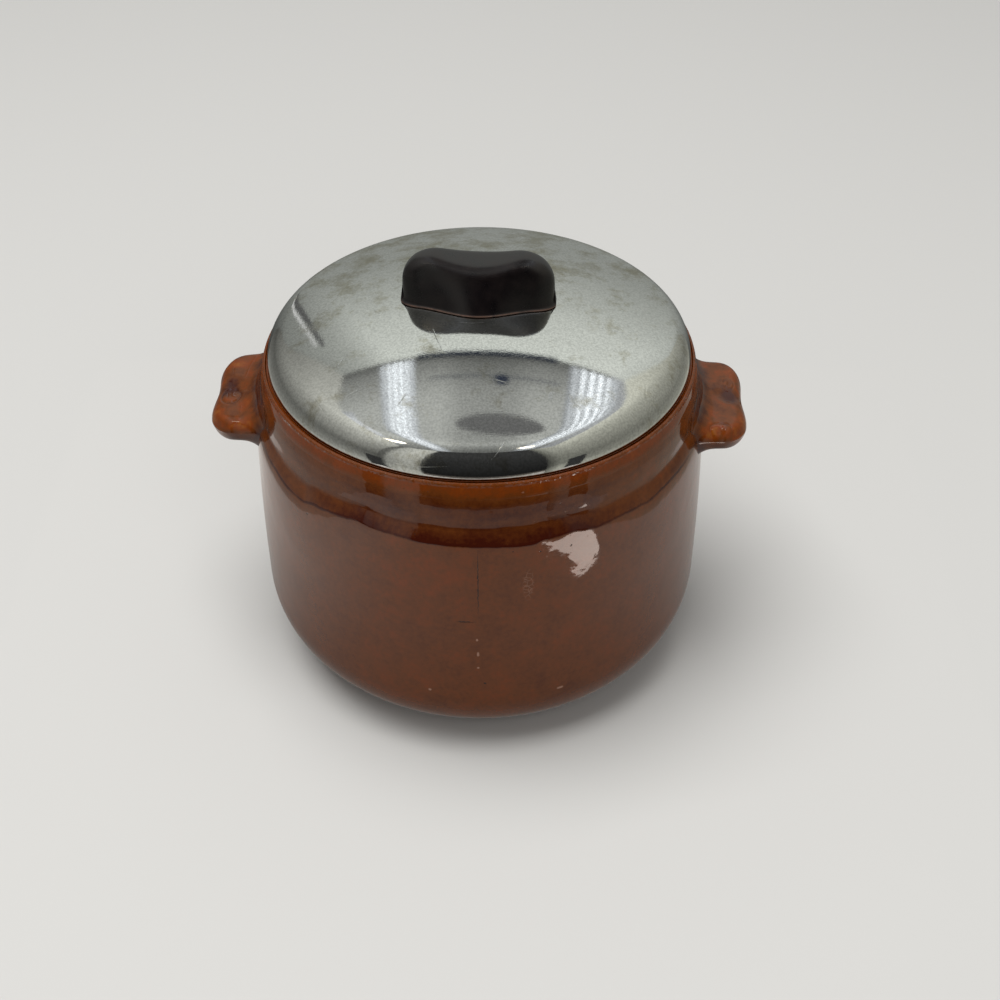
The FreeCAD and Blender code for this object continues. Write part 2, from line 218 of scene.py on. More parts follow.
def bareStoneware():
    # Unglazed stoneware on the foot ring: matt, buff, slightly sandy.
    material, tree, place = startMaterial("bareStoneware")
    sand = addNoise(tree, place, bareClay["sandScale"], 3.0)
    colour = addNode(tree, "ShaderNodeValToRGB", {"Fac": sand}, stops=[
        (0.3, toLinear(bareClay["dark"])), (0.7, toLinear(bareClay["light"]))]).outputs[0]
    return finishMaterial(material, tree, {
        "Base Color": colour, "Roughness": bareClay["roughness"],
        "Normal": addBump(tree, sand, 0.0002, 0.6)})


metal = {
    "clean": "#e4e5e2",
    "stained": "#b7b3a1",
    "stainSize": 0.016,
    "stainFrom": -0.01, "stainTo": 0.05,   # most stains lie on the far half of the crown
    "ringGap": 0.0005,       # polishing rings, drawn coarser than the real ones so that they show
    "grit": 0.0009,          # grain of the polish, also drawn coarse
    "scratchGap": 0.034,     # about one long scratch in this distance
    "scratchBend": 0.03,
    "ringTurns": 6.0,        # how fast a polishing ring changes on its way round
    "mirror": 0.055, "dull": 0.2,          # roughness when clean, and when stained or scratched
}


def polishedAluminium():
    # Spun aluminium, machine polished and then used for years: mirror-like under a thin haze,
    # with water stains, fine rings from the polishing, grit and scratches.
    material, tree, place = startMaterial("polishedAluminium")
    axes = addNode(tree, "ShaderNodeSeparateXYZ", {0: place}).outputs
    stains = addNoise(tree, place, 1 / metal["stainSize"], 8.0, 0.72)
    fartherBack = addRange(tree, axes[1], metal["stainFrom"], metal["stainTo"], -0.07, 0.035)
    stainMask = addRange(tree, addMath(tree, "ADD", stains, fartherBack), 0.48, 0.64)
    colour = addMix(tree, stainMask, toLinear(metal["clean"]), toLinear(metal["stained"]))

    flatPlace = addNode(tree, "ShaderNodeCombineXYZ", {0: axes[0], 1: axes[1]}).outputs[0]
    radius = addNode(tree, "ShaderNodeVectorMath", {0: flatPlace}, operation="LENGTH").outputs["Value"]
    turn = addMath(tree, "ARCTAN2", axes[1], axes[0])
    ringPlace = addNode(tree, "ShaderNodeCombineXYZ", {
        0: addMath(tree, "MULTIPLY", radius, 1 / metal["ringGap"]),
        1: addMath(tree, "MULTIPLY", turn, metal["ringTurns"])}).outputs[0]
    rings = addNoise(tree, ringPlace, 1.0, 2.0)
    grit = addNoise(tree, place, 1 / metal["grit"], 3.0, 0.7)
    gritMask = addRange(tree, grit, 0.36, 0.62, 0.74, 1.0)
    gritty = addNode(tree, "ShaderNodeVectorMath", {0: colour, "Scale": gritMask},
                     operation="SCALE").outputs[0]

    bent = addNode(tree, "ShaderNodeVectorMath", {
        0: addNoise(tree, place, 14.0, 1.0, output=1), 1: (metal["scratchBend"],) * 3, 2: place},
        operation="MULTIPLY_ADD").outputs[0]
    line = addRange(tree, addCellEdges(tree, bent, metal["scratchGap"]), 0.006, 0.002)
    run = addRange(tree, addNoise(tree, place, 62.0, 0.0), 0.62, 0.68)
    scratches = addMath(tree, "MULTIPLY", line, run)

    ringBump = addBump(tree, rings, 0.00002, 0.25)
    gritBump = addBump(tree, grit, 0.00002, 0.35, ringBump)
    scratchBump = addBump(tree, scratches, 0.00004, 0.8, gritBump, invert=True)
    dull = addMath(tree, "MAXIMUM", stainMask, scratches)
    roughness = addRange(tree, dull, 0.0, 1.0, metal["mirror"], metal["dull"])
    return finishMaterial(material, tree, {
        "Base Color": gritty, "Metallic": 1.0, "Roughness": roughness, "Normal": scratchBump})


resin = {
    "dark": "#090507", "light": "#140d0d",
    "filler": "#4d382e",     # where the flash was trimmed off
    "gloss": 0.20, "worn": 0.40,
    "wearScale": 180.0,
}


def mouldedPhenolic():
    # Phenolic resin, pressed in a polished mould: nearly black brown with a soft, slightly dulled
    # gloss, and a paler brown filler showing where the mould's flash was trimmed off.
    material, tree, place = startMaterial("mouldedPhenolic")
    wear = addNoise(tree, place, resin["wearScale"], 5.0)
    colour = addNode(tree, "ShaderNodeValToRGB", {"Fac": wear}, stops=[
        (0.35, toLinear(resin["dark"])), (0.7, toLinear(resin["light"]))]).outputs[0]
    bare = addMath(tree, "MULTIPLY", addMark(tree, "trimmedEdge"), addRange(tree, wear, 0.3, 0.55))
    return finishMaterial(material, tree, {
        "Base Color": addMix(tree, bare, colour, toLinear(resin["filler"])),
        "Roughness": addRange(tree, wear, 0.0, 1.0, resin["gloss"], resin["worn"]),
        "IOR": 1.52, "Normal": addBump(tree, wear, 0.0001, 0.15)})


def turnedMetal(name, light, dark, roughness):
    # Small turned fittings, brass or zinc-plated steel: fine tool marks and a dulled film.
    material, tree, place = startMaterial(name)
    film = addNoise(tree, place, 700.0, 4.0)
    colour = addNode(tree, "ShaderNodeValToRGB", {"Fac": film}, stops=[
        (0.35, toLinear(dark)), (0.65, toLinear(light))]).outputs[0]
    return finishMaterial(material, tree, {
        "Base Color": colour, "Metallic": 1.0, "Roughness": roughness,
        "Normal": addBump(tree, film, 0.00005, 0.3)})


def arcPoints(centre, radius, start, end, steps):
    turns = [math.radians(start + (end - start) * i / steps) for i in range(steps + 1)]
    return [(centre[0] + radius * math.cos(t), centre[1] + radius * math.sin(t)) for t in turns]


def roundedLine(corners, step):
    # line through (radius, height, rounding) corners, its corners rounded, its runs cut to length
    points = [Vector(corners[0][:2])]
    for i in range(1, len(corners) - 1):
        corner = Vector(corners[i][:2])
        rounding = corners[i][2]
        before = (Vector(corners[i - 1][:2]) - corner).normalized()
        after = (Vector(corners[i + 1][:2]) - corner).normalized()
        half = before.angle(after) / 2
        if rounding == 0:
            points.append(corner)
            continue
        reach = rounding / math.tan(half)
        centre = corner + (before + after).normalized() * (rounding / math.sin(half))
        first = corner + before * reach - centre
        last = corner + after * reach - centre
        turn = first.angle_signed(last)
        count = max(4, math.ceil(abs(turn) * rounding / step))
        for k in range(count + 1):
            points.append(centre + Matrix.Rotation(-turn * k / count, 2) @ first)
    points.append(Vector(corners[-1][:2]))
    line = [points[0]]
    for point in points[1:]:
        run = point - line[-1]
        if run.length < 1e-4:
            continue
        count = max(1, math.ceil(run.length / step))
        start = line[-1].copy()
        line += [start + run * (k + 1) / count for k in range(count)]
    return line


def spinOutline(points, steps, closed=False):
    bm = bmesh.new()
    verts = [bm.verts.new((r, 0, z)) for r, z in points]
    edges = [bm.edges.new(pair) for pair in zip(verts, verts[1:])]
    if closed:
        edges.append(bm.edges.new((verts[-1], verts[0])))
    bmesh.ops.spin(bm, geom=verts + edges, axis=(0, 0, 1), cent=(0, 0, 0), steps=steps,
                   angle=2 * math.pi, use_merge=True)
    bmesh.ops.remove_doubles(bm, verts=bm.verts, dist=1e-5)
    bmesh.ops.recalc_face_normals(bm, faces=bm.faces)
    return bm


def makeObject(name, bm, materials):
    # the mesh arrives in millimetres and leaves in metres
    bmesh.ops.scale(bm, vec=(mm, mm, mm), verts=bm.verts)
    for face in bm.faces:
        face.smooth = True
    mesh = bpy.data.meshes.new(name)
    bm.to_mesh(mesh)
    bm.free()
    for material in materials:
        mesh.materials.append(material)
    obj = bpy.data.objects.new(name, mesh)
    bpy.context.scene.collection.objects.link(obj)
    return obj


def subdivided(bm, levels):
    # Catmull-Clark smoothing of a bmesh, returned as a new bmesh
    mesh = bpy.data.meshes.new("rough")
    bm.to_mesh(mesh)
    bm.free()
    rough = bpy.data.objects.new("rough", mesh)
    bpy.context.scene.collection.objects.link(rough)
    smoothing = rough.modifiers.new("smoothing", "SUBSURF")
    smoothing.levels = smoothing.render_levels = levels
    dense = rough.evaluated_get(bpy.context.evaluated_depsgraph_get()).to_mesh()
    result = bmesh.new()
    result.from_mesh(dense)
    bpy.data.objects.remove(rough)
    bpy.data.meshes.remove(mesh)
    return result


pot = {
    # radius, height and rounding, from the foot up, over the lip and down inside
    "corners": [
        (0, 2.4, 0), (48.3, 2.4, 1.6), (50.8, 0, 0.9), (97.05, 0, 38.35), (97.7, 70, 1000),
        (96.525, 117.2, 0), (96.5, 118.2, 2.0), (96.06, 119.1, 0), (93.5, 124.6, 6), (93.15, 130.5, 30),
        (92.85, 135.0, 24), (92.4, 138.3, 16), (91.8, 141.2, 10), (91.35, 143.4, 4), (90.9, 144.85, 0.9),
        (89.8, 145.3, 0.3), (89.8, 143.95, 0.4), (84.7, 143.95, 1.2), (84.7, 128.5, 35),
        (89.39, 111.5, 35), (90.2, 70, 992), (89.6, 9, 30), (0, 9, 0)],
    "spinSteps": 360,
    "rowStep": 2.6,
    "throwing": 0.10,             # slow unevenness of the wall, which sets in over these heights
    "throwingFrom": (4, 20),
    "shoulder": 118.2,            # height of the edge that was trimmed by hand
    # how far that edge rises, in mm, at angles in degrees round from the front, + to the right
    "trimming": [(-180, 0.5), (-120, -0.8), (-95, 0.6), (-70, 1.6), (-60, 0), (-53, -2.6), (-47, -2.8),
                 (-41, 0), (-36, 1.4), (-31, 2.4), (-29.5, 3.4), (-26.5, 3.6), (-24.5, 2.6), (-18, 1.6),
                 (-12, 0.9), (-5, 0.6), (2, 0.2), (11, -0.3), (14, -0.4), (17, 1.2), (24, 1.9), (27.5, 1.2),
                 (31, 0), (37, 0.6), (47, -0.5), (55, 1.0), (66, 1.8), (95, -0.4), (130, 0.9), (180, 0.5)],
    "trimReach": ((102, 117), (119.5, 130)),   # heights over which its rise comes in and dies out
    "trimRagged": 0.35,
    "trimMarks": 0.32,            # knife marks above it, which end over these heights
    "trimMarksTo": (124, 131),
    # at the sides, past these angles, the shoulder is a gentler slope between these heights
    "easeAngles": (30, 46), "easeFrom": (112.5, 115), "easeTo": (128, 131),
    "easeRadius": 96.7, "easeIn": 3.45, "easeHeights": (112, 133),
    # heights over which the darkening stops, partly pooled glaze and partly a painted dark reflection, in
    # the neck and just above the edge
    "pooledTo": (134, 142), "ridgeTo": (119.5, 124),
    "darkReflectionAngles": (24, 42),     # the painted dark reflection, and the pooling with it, fades past these angles from the front
    "thinFrom": (137.5, 143), "crest": (144.0, 144.9),   # it is thin below the crest of the lip
    "streakTo": (132, 140),
    "pebbled": (143.4, 144.6), "pebbledRadius": (89.7, 90.1),
    # the wall's outside lies past outerRadius, or below heelTop and past footRadius
    "outerRadius": 92.3, "heelTop": 60, "footRadius": 62, "footTop": 3,
    "bareRing": 1.1, "bareRadius": 49,   # the foot is wiped clean below this height
}


def angleFromFront(point):
    return math.degrees(math.atan2(point.x, -point.y))


def wallDent(point):
    # how far the glazed wall lies inside its true circle
    height = point.z
    slow = 0.5 + 0.5 * noise.noise(point * 0.022)
    onShoulder = (smoothStep(pot["shoulder"] - 2, pot["shoulder"] + 2, height)
                  * (1 - smoothStep(*pot["trimMarksTo"], height)))
    marks = noise.fractal(Vector((point.x * 0.06, point.y * 0.06, height * 0.22)), 0.9, 2.1, 3)
    return (pot["throwing"] * slow * smoothStep(*pot["throwingFrom"], height)
            + pot["trimMarks"] * onShoulder * (0.5 + 0.5 * max(-1.0, min(1.0, marks * 1.2))))


def shoulderShift(point):
    # the trimmed edge wanders up and down, with short steps where the knife was lifted
    angle = angleFromFront(point)
    rise = 0.0
    for (start, low), (end, high) in zip(pot["trimming"], pot["trimming"][1:]):
        if start <= angle <= end:
            rise = low + (high - low) * smoothStep(start, end, angle)
    ragged = noise.fractal(Vector((point.x * 0.16, point.y * 0.16, 11.0)), 0.8, 2.3, 4)
    comesIn, diesOut = pot["trimReach"]
    near = smoothStep(*comesIn, point.z) * (1 - smoothStep(*diesOut, point.z))
    return (rise + pot["trimRagged"] * max(-1.2, min(1.2, ragged))) * near


def easedInset(point, radius):
    # at the sides the step of the shoulder is rubbed down to a long slope up to the neck
    share = (smoothStep(*pot["easeAngles"], abs(angleFromFront(point)))
             * smoothStep(*pot["easeFrom"], point.z))
    slope = pot["easeRadius"] - pot["easeIn"] * smoothStep(*pot["easeHeights"], point.z)
    return max(radius - slope, 0) * share * (1 - smoothStep(*pot["easeTo"], point.z))


def glazeThicknessAndPaintedDark(point):
    # 0.5 on the wall, less under the crest of the lip, more in the neck and most along the edge; the extra
    # in the neck and just above the edge is partly pooled glaze and partly a painted dark reflection,
    # strongest at the front
    height, edge = point.z, pot["shoulder"]
    pooledAndPaintedDark = smoothStep(edge - 1, edge + 1, height) * (1 - smoothStep(*pot["pooledTo"], height))
    pooledAndPaintedDark += 0.7 * smoothStep(edge - 0.5, edge + 0.5, height) * (1 - smoothStep(*pot["ridgeTo"], height))
    # painted dark reflection: the darkening of the neck and over the edge is strongest at the front and
    # fades towards the sides
    pooledAndPaintedDark *= 1 - 0.8 * smoothStep(*pot["darkReflectionAngles"], abs(angleFromFront(point)))
    atEdge = max(0.0, 1 - abs(height - edge) / 0.9)
    patchy = smoothStep(-0.35, 0.25, noise.noise(Vector((point.x * 0.05, point.y * 0.05, 2.0))))
    thinned = 0.17 * smoothStep(*pot["thinFrom"], height) * (1 - 0.8 * smoothStep(*pot["crest"], height))
    streaks = noise.fractal(Vector((point.x * 0.05, point.y * 0.05, height * 0.5)), 0.7, 2.4, 4)
    pooledAndPaintedDark += (0.5 * streaks * smoothStep(edge, edge + 2, height)
               * (1 - smoothStep(*pot["streakTo"], height)))
    return 0.5 + 0.22 * pooledAndPaintedDark + 0.6 * atEdge * (0.4 + 0.6 * patchy) - thinned


def makePotBody(materials):
    bm = spinOutline(roundedLine(pot["corners"], pot["rowStep"]), pot["spinSteps"])
    thickness = bm.verts.layers.float.new("glazeThicknessAndPaintedDark")
    pebble = bm.verts.layers.float.new("glazePebble")
    for vert in bm.verts:
        radius = math.hypot(vert.co.x, vert.co.y)
        # this mark also carries a painted dark reflection round the front of the neck
        vert[thickness] = glazeThicknessAndPaintedDark(vert.co)
        vert[pebble] = smoothStep(*pot["pebbled"], vert.co.z) * smoothStep(*pot["pebbledRadius"], radius)
        outside = radius > pot["outerRadius"] or vert.co.z < pot["heelTop"]
        if outside and vert.co.z > pot["footTop"] and radius > pot["footRadius"]:
            outward = Vector((vert.co.x, vert.co.y, 0)) / radius
            shift = shoulderShift(vert.co)
            vert.co -= outward * (wallDent(vert.co) + easedInset(vert.co, radius))
            vert.co.z += shift
    for face in bm.faces:
        middle = face.calc_center_median()
        if middle.z < pot["bareRing"] and math.hypot(middle.x, middle.y) > pot["bareRadius"]:
            face.material_index = 1
    return makeObject("potBody", bm, materials)


handleRight = {
    "side": 1, "top": 124.4, "thickness": 12.5, "tip": 114.0, "halfWidth": 27.5,
    "frontCorner": 13.0, "rearCorner": 13.0, "pinch": 1.0, "edge": 5.8, "root": 10.0,
    # hollows pressed into the top: distance out, y, half length, half width and depth
    "hollows": [(106.5, -1.0, 7.5, 8.5, 1.4), (107.7, 6.9, 1.7, 2.8, 0.45), (101.5, -25.5, 3.0, 2.2, 0.5),
                (106.7, -4.4, 3.2, 4.2, 0.3)],
    # rings that a fingertip left
    "curls": [(101.8, -25.0, 4.6, 3.2, 0.4), (107.6, 7.4, 2.2, 3.4, 0.35)], "curlWidth": 0.13,
    "uneven": 0.25,
}
handleLeft = dict(
    handleRight, side=-1, top=125.9, rearCorner=16.0,
    hollows=[(106.5, -2.0, 7.5, 9.5, 1.4), (107.3, 3.2, 4.6, 4.4, 0.5), (104.6, -2.2, 1.4, 1.6, 0.5),
             (97.4, -32.0, 1.2, 3.4, 0.7), (99.8, -4.6, 3.4, 0.9, 0.3)],
    curls=[(106.0, -7.6, 4.1, 5.6, 0.6), (100.5, -5.0, 3.2, 1.6, 0.3)])
neckRadius = 93.1
# where the loops of a handle's mesh lie, closer together at its edges and through its root
acrossPlaces = [-1, -0.985, -0.94, -0.87, -0.78, -0.6, -0.4, -0.2, 0,
                0.2, 0.4, 0.6, 0.78, 0.87, 0.94, 0.985, 1]
alongPlaces = [0, 0.05, 0.087, 0.102, 0.146, 0.215, 0.306, 0.411, 0.524, 0.64, 0.75, 0.85, 0.93, 0.98, 1]


def handlePlan(handle, across, along):
    # place seen from above: across -1 front to 1 back, along 0 inside the wall to 1 at the tip
    corner = handle["rearCorner"] if across > 0 else handle["frontCorner"]
    flat = handle["halfWidth"] - corner
    reach = corner * math.sqrt(0.5)
    sideEnd = handle["tip"] - corner + reach
    rootSide = math.sqrt((neckRadius - 2) ** 2 - handle["halfWidth"] ** 2)
    sideX = rootSide + (sideEnd - rootSide) * along
    past = max(sideX - (handle["tip"] - corner), 0)
    halfWidth = flat + math.sqrt(max(corner ** 2 - past ** 2, 0))
    y = across * halfWidth
    tipY = abs(across) * (flat + reach)
    if tipY > flat:
        tipX = handle["tip"] - corner + math.sqrt(corner ** 2 - (tipY - flat) ** 2)
    else:
        tipX = handle["tip"] - handle["pinch"] * math.cos(math.pi / 2 * tipY / flat) ** 2
    rootX = math.sqrt((neckRadius - 2) ** 2 - y ** 2)
    return rootX + (tipX - rootX) * along, y


def pressedDepth(handle, x, y):
    # how deep fingers pressed the clay at a place on the top
    depth = 0.0
    for middleX, middleY, length, width, deep in handle["hollows"]:
        away = math.hypot((x - middleX) / length, (y - middleY) / width)
        depth += deep * (1 - smoothStep(0.0, 1.0, away))
    for middleX, middleY, length, width, deep in handle["curls"]:
        away = math.hypot((x - middleX) / length, (y - middleY) / width)
        depth += deep * math.exp(-((away - 1) / handle["curlWidth"]) ** 2)
    return depth


def makeHandle(name, handle, materials):
    bm = bmesh.new()
    grid = bmesh.ops.create_grid(bm, x_segments=len(alongPlaces) - 1, y_segments=len(acrossPlaces) - 1,
                                 size=1.0)["verts"]
    for vert in grid:
        across = acrossPlaces[round((vert.co.y + 1) / 2 * (len(acrossPlaces) - 1))]
        along = alongPlaces[round((vert.co.x + 1) / 2 * (len(alongPlaces) - 1))]
        x, y = handlePlan(handle, across, along)
        # the edges are rounded off all the way round, but for a narrow flat
        fromSide = max(1 - (1 - abs(across)) * handle["halfWidth"] / handle["edge"], 0)
        fromTip = max(1 - (1 - along) * (handle["tip"] - neckRadius) / handle["edge"], 0)
        rounded = min(math.hypot(fromSide, fromTip), 1)
        half = handle["thickness"] / 2 - handle["edge"] * (1 - math.sqrt(1 - rounded ** 2))
        vert.co = (x, y, handle["top"] - handle["thickness"] / 2 - half)
    raised = bmesh.ops.extrude_face_region(bm, geom=bm.faces[:], use_keep_orig=False)
    lifted = [item for item in raised["geom"] if isinstance(item, bmesh.types.BMVert)]
    bmesh.ops.recalc_face_normals(bm, faces=bm.faces)
    middle = handle["top"] - handle["thickness"] / 2
    for vert in lifted:
        vert.co.z = 2 * middle - vert.co.z
    for vert in bm.verts:
        clear = math.hypot(vert.co.x, vert.co.y) - neckRadius
        inside = min(max(handle["root"] - max(clear, 0), 0), handle["root"] - 0.01)
        spread = handle["root"] - math.sqrt(handle["root"] ** 2 - inside ** 2)
        level = (vert.co.z - middle) / (handle["thickness"] / 2)
        sideways = smoothStep(0.55, 1.0, abs(vert.co.y) / handle["halfWidth"])
        vert.co.z += spread * math.copysign(smoothStep(0.0, 0.75, abs(level)), level)
        vert.co.y += spread * 0.3 * math.copysign(sideways, vert.co.y)
    bm = subdivided(bm, 3)
    thickness = bm.verts.layers.float.new("glazeThicknessAndPaintedDark")
    for vert in bm.verts:
        x, y, z = vert.co
        pressed = pressedDepth(handle, x, y) * smoothStep(middle, middle + 3.5, z)
        atRoot = 1 - smoothStep(0.0, 7.0, math.hypot(x, y) - neckRadius)
        atSide = smoothStep(0.78, 1.0, abs(y) / handle["halfWidth"]) * smoothStep(middle, middle + 3, z)
        edgeward = max(smoothStep(handle["tip"] - 6, handle["tip"] - 0.5, x), atSide)
        blotch = noise.fractal(vert.co * 0.16 + Vector((0, 0, 40.0)), 0.8, 2.2, 3)
        # painted shade: the glaze is drawn darker on the lower half of the handle, below its top
        paintedShadeBelow = smoothStep(middle + 1, middle - 4, z)
        vert[thickness] = (0.46 + 0.5 * atRoot + 0.34 * min(pressed, 1.6) - 0.22 * edgeward
                           + 0.26 * blotch + 0.2 * paintedShadeBelow)
        sway = 0.5 + 0.5 * noise.noise(vert.co * 0.12)
        vert.co.z -= pressed + handle["uneven"] * sway * smoothStep(middle, middle + 3.5, z)
    if handle["side"] < 0:
        bmesh.ops.scale(bm, vec=(-1, 1, 1), verts=bm.verts)
        bmesh.ops.reverse_faces(bm, faces=bm.faces)
    return makeObject(name, bm, materials)


lid = {
    "crownCentre": (0, -70.24), "crownRadius": 241.74, "sheet": 0.8, "hole": 2.3,
    "shoulderCentre": (76.7, 146.0), "shoulderRadius": 12.3,
    "beadCentre": (87.9, 145.3), "beadRadius": 1.1, "beadCurl": 225,
    "spinSteps": 224,
    "planish": 0.02,      # depth of the slow waves left in the pressed sheet
}


def crownHeight(radius):
    return lid["crownCentre"][1] + math.sqrt(lid["crownRadius"] ** 2 - radius ** 2)


def makeLidShell(materials):
    crown, shoulder, bead = lid["crownCentre"], lid["shoulderCentre"], lid["beadCentre"]
    meet = math.degrees(math.atan2(shoulder[1] - crown[1], shoulder[0] - crown[0]))
    holeAngle = math.degrees(math.acos(lid["hole"] / lid["crownRadius"]))
    inner = lid["crownRadius"] - lid["sheet"]
    outline = arcPoints(crown, lid["crownRadius"], holeAngle, meet, 34)
    outline += arcPoints(shoulder, lid["shoulderRadius"], meet, 0, 14)[1:]
    outline += arcPoints(bead, lid["beadRadius"], 0, -lid["beadCurl"], 14)
    outline += arcPoints(bead, lid["beadRadius"] - lid["sheet"], -lid["beadCurl"], 0, 8)
    outline += arcPoints(shoulder, lid["shoulderRadius"] - lid["sheet"], 0, meet, 10)
    outline += arcPoints(crown, inner, meet, math.degrees(math.acos(lid["hole"] / inner)), 26)[1:]
    bm = spinOutline(outline, lid["spinSteps"], closed=True)
    for vert in bm.verts:
        radius = math.hypot(vert.co.x, vert.co.y)
        wave = noise.noise(Vector((vert.co.x * 0.03, vert.co.y * 0.03, 3.7)))
        vert.co.z -= lid["planish"] * (0.5 + 0.5 * wave) * smoothStep(2.4, 20, radius) \
            * (1 - smoothStep(80, 88, radius))
    return makeObject("lidShell", bm, materials)


knob = {
    "length": 62.5, "height": 20.4, "saddle": 2.8, "turn": -2.4, "wingRound": 12.5,
    "wingDepth": 13.0, "wingTaper": 1.6, "bossDepth": 30.0, "bossTaper": 12.0, "bossWidth": 62.0,
    "edge": 4.5,
    "lip": 1.0, "lipHeight": 0.85,       # thin lip at the lid, upright up to lipEdge
    "lipEdge": 0.35, "lipSlope": 0.35, "lipRoot": 0.6,
    "sideFrom": 2.0,                     # the sides run straight from here up
    "trimmedFrom": (0.15, 0.35), "trimmedTo": 0.6,
}


def knobTop(x):
    # height over the crown's top: a round end on each wing and a saddle between them
    wingCentre = knob["length"] / 2 - knob["wingRound"]
    top = crownHeight(0) + knob["height"]
    drop = knob["wingRound"] - knob["saddle"]
    saddle = (wingCentre ** 2 + drop ** 2 - knob["wingRound"] ** 2) / (2 * knob["saddle"])
    meet = wingCentre * saddle / (saddle + knob["wingRound"])
    if x < meet:
        return top - knob["saddle"] + saddle - math.sqrt(saddle ** 2 - x ** 2)
    return top - knob["wingRound"] + math.sqrt(max(knob["wingRound"] ** 2 - (x - wingCentre) ** 2, 0))


def knobHalfDepth(x):
    # at the lid, and how much less at the top
    endCentre = (knob["length"] - knob["wingDepth"]) / 2
    swell = math.cos(math.pi * x / knob["bossWidth"]) ** 2 if x < knob["bossWidth"] / 2 else 0.0
    narrowing = ((x - endCentre) / (knob["wingDepth"] / 2)) ** 2 if x > endCentre else 0.0
    share = math.sqrt(max(1 - narrowing, 0.02))
    depth = knob["wingDepth"] + (knob["bossDepth"] - knob["wingDepth"]) * swell
    taper = knob["wingTaper"] + (knob["bossTaper"] - knob["wingTaper"]) * swell
    return depth / 2 * share, taper / 2 * share


def knobSection(x):
    foot, taper = knobHalfDepth(abs(x))
    top = foot - taper
    high = knobTop(abs(x))
    low = crownHeight(math.hypot(x, foot))
    rounding = min(knob["edge"], 0.8 * top)
    side = top + taper * rounding / (high - low)
    turns = [math.radians(a) for a in (0, 22.5, 45, 67.5, 90)]
    lip, lipTop, start = knob["lip"], low + knob["lipHeight"], knob["sideFrom"]
    half = [(foot + lip, low), (foot + lip, low + knob["lipEdge"]),
            (foot + knob["lipSlope"] * lip, lipTop), (foot, lipTop + knob["lipRoot"])]
    half += [(foot + (side - foot) * s, low + start + (high - rounding - low - start) * s)
             for s in (0.25, 0.6, 0.9)]
    half += [(top - rounding + (side - top + rounding) * math.cos(t),
              high - rounding + rounding * math.sin(t)) for t in turns]
    return [(-y, z) for y, z in half] + [(y, z) for y, z in reversed(half)]


def makeKnob(materials):
    endCentre = (knob["length"] - knob["wingDepth"]) / 2
    ends = [endCentre + knob["wingDepth"] / 2 * math.sin(math.radians(a)) for a in (20, 40, 58, 74, 84)]
    right = [endCentre * i / 7 for i in range(1, 8)] + ends
    bm = bmesh.new()
    loops = []
    for x in [-x for x in reversed(right)] + [0.0] + right:
        verts = []
        for y, z in knobSection(x):
            # the thin lip at the lid stands out past the ends as well
            above = z - crownHeight(math.hypot(x, y))
            lipShare = 1 - smoothStep(knob["lipHeight"], knob["lipHeight"] + 0.7, above)
            atEnd = smoothStep(endCentre, knob["length"] / 2, abs(x))
            verts.append(bm.verts.new((x + math.copysign(knob["lip"] * lipShare * atEnd, x), y, z)))
        loops.append([bm.edges.new((a, b)) for a, b in zip(verts, verts[1:] + verts[:1])])
    for a, b in zip(loops, loops[1:]):
        bmesh.ops.bridge_loops(bm, edges=a + b)
    bmesh.ops.holes_fill(bm, edges=loops[0] + loops[-1], sides=0)
    bmesh.ops.recalc_face_normals(bm, faces=bm.faces)
    bm = subdivided(bm, 2)
    trimmed = bm.verts.layers.float.new("trimmedEdge")
    for vert in bm.verts:
        above = vert.co.z - crownHeight(math.hypot(vert.co.x, vert.co.y))
        vert[trimmed] = (smoothStep(*knob["trimmedFrom"], above)
                         * (1 - smoothStep(knob["trimmedTo"], knob["lipHeight"] + 0.1, above)))
    bmesh.ops.rotate(bm, cent=(0, 0, 0), matrix=Matrix.Rotation(math.radians(knob["turn"]), 3, "Z"),
                     verts=bm.verts)
    return makeObject("lidKnob", bm, materials)


